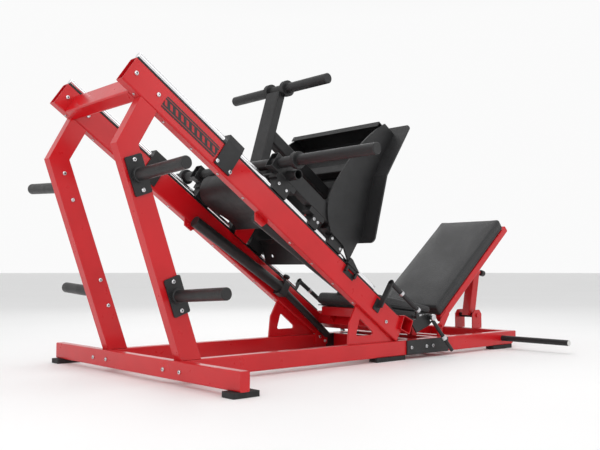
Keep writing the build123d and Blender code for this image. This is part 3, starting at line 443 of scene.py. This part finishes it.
def seam_ring(pad, centre, along, across, half_along, half_across):
    """Points on the pad's skin where a plane through centre meets it, and the outward direction at each."""
    tree = skin_of(pad)
    ring = []
    for step in range(SEAM_AIMS):
        angle = 2 * math.pi * step / SEAM_AIMS
        c, s = math.cos(angle), math.sin(angle)
        x = half_along * math.copysign(abs(c) ** SQUARENESS, c)
        y = half_across * math.copysign(abs(s) ** SQUARENESS, s)
        aim = centre + along * x + across * y
        outward = (along * x + across * y).normalized()
        hit, normal, _, _ = tree.ray_cast(aim + outward * 0.12, -outward)
        if hit is not None:
            ring.append((hit, normal))
    return ring


def even_ring(points, count):
    """The same closed ring with its points at even spacing."""
    lengths = [0.0]
    closed = points + [points[0]]
    for a, b in zip(closed, closed[1:]):
        lengths.append(lengths[-1] + (b - a).length)
    evened, k = [], 0
    for step in range(count):
        want = lengths[-1] * step / count
        while lengths[k + 1] < want:
            k += 1
        share = (want - lengths[k]) / max(lengths[k + 1] - lengths[k], 1e-9)
        evened.append(closed[k].lerp(closed[k + 1], share))
    return evened


def piping(name, ring, radius, body):
    """A sewn welt: a round cord laid into the skin along the ring."""
    path = even_ring([hit for hit, _ in ring], WELT_POINTS)
    curve = bpy.data.curves.new(name, "CURVE")
    curve.dimensions = "3D"
    curve.bevel_depth = radius
    curve.bevel_resolution = 3
    line = curve.splines.new("NURBS")
    line.points.add(len(path) - 1)
    for point, spot in zip(line.points, path):
        point.co = (*spot, 1)
    line.use_cyclic_u = True
    line.order_u = 4
    maker = bpy.data.objects.new(name + "_line", curve)
    scene.collection.objects.link(maker)
    bpy.context.view_layer.update()
    mesh = bpy.data.meshes.new_from_object(maker.evaluated_get(bpy.context.evaluated_depsgraph_get()))
    bpy.data.objects.remove(maker)
    shape = bmesh.new()
    shape.from_mesh(mesh)
    bpy.data.meshes.remove(mesh)
    return put(shape, name, VINYL, body)


def stitches(name, ring, count, body):
    """A row of short lockstitches lying along the ring."""
    path = even_ring([hit + normal * 0.0002 for hit, normal in ring], count)
    shape = bmesh.new()
    for spot, after, before in zip(path, path[1:] + path[:1], path[-1:] + path[:-1]):
        run = (after - before).normalized()
        turn = run.to_track_quat("X", "Z").to_matrix().to_4x4()
        size = Matrix.Diagonal((0.0046, 0.0012, 0.0012, 1))
        bmesh.ops.create_icosphere(shape, subdivisions=1, radius=0.5, matrix=Matrix.Translation(spot) @ turn @ size)
    return put(shape, name, THREAD, body)


def at(x, z):
    """A bench measure in millimetres as a place on the side view."""
    return x / 1000 - REAR_FACE, z / 1000


# ---------------------------------------------------------------- pads

seat_corners = [at(1273, 292), at(1294, 272.5), at(1730, 221), at(1733, 257), at(1302, 337)]
under_a, under_b = at(1290, 270), at(1734, 217)
seat_run = Vector((under_b[0] - under_a[0], 0, under_b[1] - under_a[1])).normalized()
seat_up = Vector((-seat_run.z, 0, seat_run.x))
seat_under = Vector((under_a[0], 0, under_a[1]))
seat = stuffed(
    "seat_cushion", seat_corners, 0.221, 0.009, 0.006, seat_under + seat_up * 0.0005, seat_up,
    "frame", "seat_pad",
)

back_corners = []
for run, out in ((5, 1.5), (805, 1.5), (805, 71), (5, 71)):
    spot = BACK_FOOT + UP_BACK * (run / 1000) + OFF_BACK * (out / 1000)
    back_corners.append((spot.x, spot.z))
back = stuffed(
    "back_cushion", back_corners, 0.224, 0.009, 0.006, BACK_FOOT + OFF_BACK * 0.0006, OFF_BACK,
    "backrest", "back_pad",
)

ACROSS = Vector((0, 1, 0))
back_seam = seam_ring(
    back, BACK_FOOT + UP_BACK * 0.405 + OFF_BACK * 0.058, UP_BACK, ACROSS, 0.405, 0.228,
)
piping("back_cushion_piping", back_seam, 0.0022, "backrest")
back_low_seam = seam_ring(
    back, BACK_FOOT + UP_BACK * 0.405 + OFF_BACK * 0.020, UP_BACK, ACROSS, 0.405, 0.228,
)
piping("back_cushion_lower_piping", back_low_seam, 0.0018, "backrest")
seat_middle = seat_under + seat_run * 0.222 + seat_up * 0.022
seat_seam = seam_ring(seat, seat_middle, seat_run, ACROSS, 0.222, 0.225)
piping("seat_cushion_piping", seat_seam, 0.0020, "frame")
back_stitch = seam_ring(
    back, BACK_FOOT + UP_BACK * 0.405 + OFF_BACK * 0.051, UP_BACK, ACROSS, 0.405, 0.228,
)
stitches("back_cushion_stitching", back_stitch, 330, "backrest")
seat_stitch = seam_ring(seat, seat_middle - seat_up * 0.006, seat_run, ACROSS, 0.222, 0.225)
stitches("seat_cushion_stitching", seat_stitch, 240, "frame")


# ---------------------------------------------------------------- bolt sockets

def islands(node):
    """The separate solids of a CAD node, each as its list of corner places."""
    shape = bmesh.new()
    shape.from_mesh(nodes[node].data)
    bmesh.ops.remove_doubles(shape, verts=shape.verts, dist=1e-6)
    left = set(shape.verts)
    found = []
    while left:
        stack = [left.pop()]
        group = []
        while stack:
            vertex = stack.pop()
            group.append(vertex.co.copy())
            for edge in vertex.link_edges:
                other = edge.other_vert(vertex)
                if other in left:
                    left.remove(other)
                    stack.append(other)
        found.append(group)
    shape.free()
    return sorted(found, key=lambda g: tuple(round(c, 5) for c in sum(g, Vector()) / len(g)))


def sockets(name, node, body):
    """A thin dark hexagon in the crown of every button-head bolt: painted shade that stands in for its hex recess."""
    shape = bmesh.new()
    for group in islands(node):
        corners = np.array([tuple(p) for p in group])
        middle = corners.mean(0)
        spread = corners - middle
        axis = np.linalg.eigh(spread.T @ spread)[1][:, 0]
        height = spread @ axis
        reach = np.linalg.norm(spread - np.outer(height, axis), axis=1)
        if reach[height > 0].max() > reach[height < 0].max():
            axis, height = -axis, -height
        if reach.max() > BIGGEST_BOLT:
            continue
        crown = Vector(middle + axis * (height.max() - 0.0003))
        turn = Vector(axis).to_track_quat("Z", "Y").to_matrix().to_4x4()
        bmesh.ops.create_cone(
            shape, cap_ends=True, segments=6, radius1=reach.max() * 0.42, radius2=reach.max() * 0.38,
            depth=0.0008, matrix=Matrix.Translation(crown) @ turn,
        )
    # The dark hexagons are painted shade for the hex recesses, not plastic.
    return put(shape, name, BLACK_PLASTIC_AND_SOCKET_SHADE, body, smooth=False)


sockets("frame_bolt_socket_shade", "frame_bolts", "frame")
sockets("sled_bolt_socket_shade", "sled_bolts", "sled")


# ---------------------------------------------------------------- room, lights, camera

def make_floor():
    shape = bmesh.new()
    bmesh.ops.create_circle(shape, cap_ends=True, segments=96, radius=70)
    mesh = bpy.data.meshes.new("studio_floor")
    shape.to_mesh(mesh)
    shape.free()
    floor = bpy.data.objects.new("studio_floor", mesh)
    scene.collection.objects.link(floor)
    mesh.materials.append(pale_floor())


def soft_box(name, place, target, width, height, power):
    light = bpy.data.lights.new(name, "AREA")
    light.shape = "RECTANGLE"
    light.size = width
    light.size_y = height
    light.energy = power
    lamp = bpy.data.objects.new(name, light)
    scene.collection.objects.link(lamp)
    lamp.location = place
    lamp.rotation_euler = (Vector(target) - Vector(place)).to_track_quat("-Z", "Y").to_euler()


make_floor()
soft_box("overhead_box", (-0.3, -0.4, 4.2), (0, 0, 0.4), 4.5, 3.5, 62)
soft_box("left_box", (-3.8, -1.6, 2.6), (0, 0, 0.6), 2.4, 2.4, 30)
soft_box("right_box", (1.8, -3.8, 2.2), (0.2, 0, 0.5), 2.0, 2.0, 12)
soft_box("back_box", (2.6, 3.4, 3.0), (0, 0, 0.6), 3.0, 2.0, 30)

world = bpy.data.worlds.new("studio")
scene.world = world
world.use_nodes = True
room = world.node_tree
sky = room.nodes["Background"]
sky.inputs["Color"].default_value = (1.0, 1.0, 1.0, 1)
facing = room.nodes.new("ShaderNodeTexCoord")
split = room.nodes.new("ShaderNodeSeparateXYZ")
fade = room.nodes.new("ShaderNodeMapRange")
fade.inputs["From Min"].default_value = 0.30
fade.inputs["From Max"].default_value = 0.75
fade.inputs["To Min"].default_value = 0.96
fade.inputs["To Max"].default_value = 0.66
room.links.new(facing.outputs["Generated"], split.inputs["Vector"])
room.links.new(split.outputs["Z"], fade.inputs["Value"])
room.links.new(fade.outputs["Result"], sky.inputs["Strength"])

lens = bpy.data.cameras.new("front_quarter")
lens.sensor_width = 36
lens.sensor_fit = "HORIZONTAL"
lens.lens = 48.27
lens.clip_start = 0.05
lens.clip_end = 100
camera = bpy.data.objects.new("front_quarter", lens)
scene.collection.objects.link(camera)
camera.location = (-2.90976, -3.0952, 0.4732)
camera.rotation_euler = (math.radians(93.033), 0, math.radians(-41.501))
scene.camera = camera
scene.view_settings.view_transform = "Standard"
